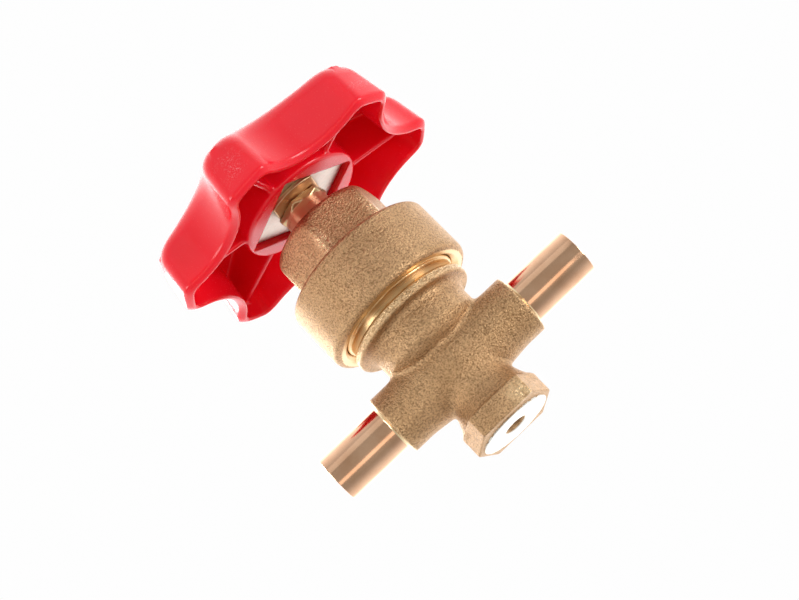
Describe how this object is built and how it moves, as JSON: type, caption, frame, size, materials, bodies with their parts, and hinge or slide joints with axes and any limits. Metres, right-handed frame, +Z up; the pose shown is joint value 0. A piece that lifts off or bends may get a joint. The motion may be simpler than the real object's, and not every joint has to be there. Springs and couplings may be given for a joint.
{
  "type": "diaphragm shut-off valve",
  "caption": "Forged brass packless shut-off valve with copper solder stubs in line, a round bonnet, a flat mounting foot and a hollow red lobed handwheel.",
  "frame": {"origin": "centre of the mounting foot's face, on the stem axis", "axes": "+Z up the stem towards the handwheel, +X along the ports towards the outlet"},
  "size_m": [0.0772, 0.0764, 0.0923],
  "materials": {
    "forged_brass": "shot-blasted forging, fine grain, half matt",
    "machined_brass": "turned and bright",
    "copper": "drawn copper tube, bright",
    "braze": "bright filler metal",
    "red_plastic": "glossy moulded plastic, slightly translucent",
    "zinc_steel": "zinc-plated, dull white",
    "spring_steel": "bright steel",
    "rubber": "black rubber",
    "nylon": "natural nylon"
  },
  "bodies": {
    "root": {"valve_body": "forged_brass", "inlet_tube": "copper", "outlet_tube": "copper", "inlet_braze_ring": "braze", "outlet_braze_ring": "braze", "bonnet": "forged_brass", "slip_ring": "spring_steel", "diaphragm_lower": "spring_steel", "diaphragm_middle": "spring_steel", "diaphragm_upper": "spring_steel", "return_spring": "spring_steel"},
    "pad": {"thrust_pad": "machined_brass"},
    "stem_and_wheel": {"stem": "machined_brass", "stem_seal": "rubber", "drive_plate": "zinc_steel", "handwheel": "red_plastic", "wheel_washer": "zinc_steel", "wheel_screw": "zinc_steel", "wheel_cap": "red_plastic"},
    "plug": {"valve_plug": "machined_brass", "seat_disc": "nylon", "disc_retainer": "machined_brass"}
  },
  "joints": [
    {"name": "stem_turn", "type": "hinge", "parent": "pad", "child": "stem_and_wheel", "pos_m": [0, 0, 0.06], "axis": [0, 0, 1], "range_deg": [-540, 0]},
    {"name": "stem_travel", "type": "slide", "parent": "root", "child": "pad", "axis": [0, 0, 1], "range_m": [-0.00226, 0], "deforming": ["diaphragm_lower", "diaphragm_middle", "diaphragm_upper"]},
    {"name": "plug_travel", "type": "slide", "parent": "root", "child": "plug", "axis": [0, 0, 1], "range_m": [-0.00226, 0], "deforming": ["return_spring"]}
  ],
  "couplings": [
    {"joint": "stem_travel", "follows": "stem_turn", "m_per_rad": 0.00023873},
    {"joint": "plug_travel", "follows": "stem_turn", "m_per_rad": 0.00023873}
  ]
}
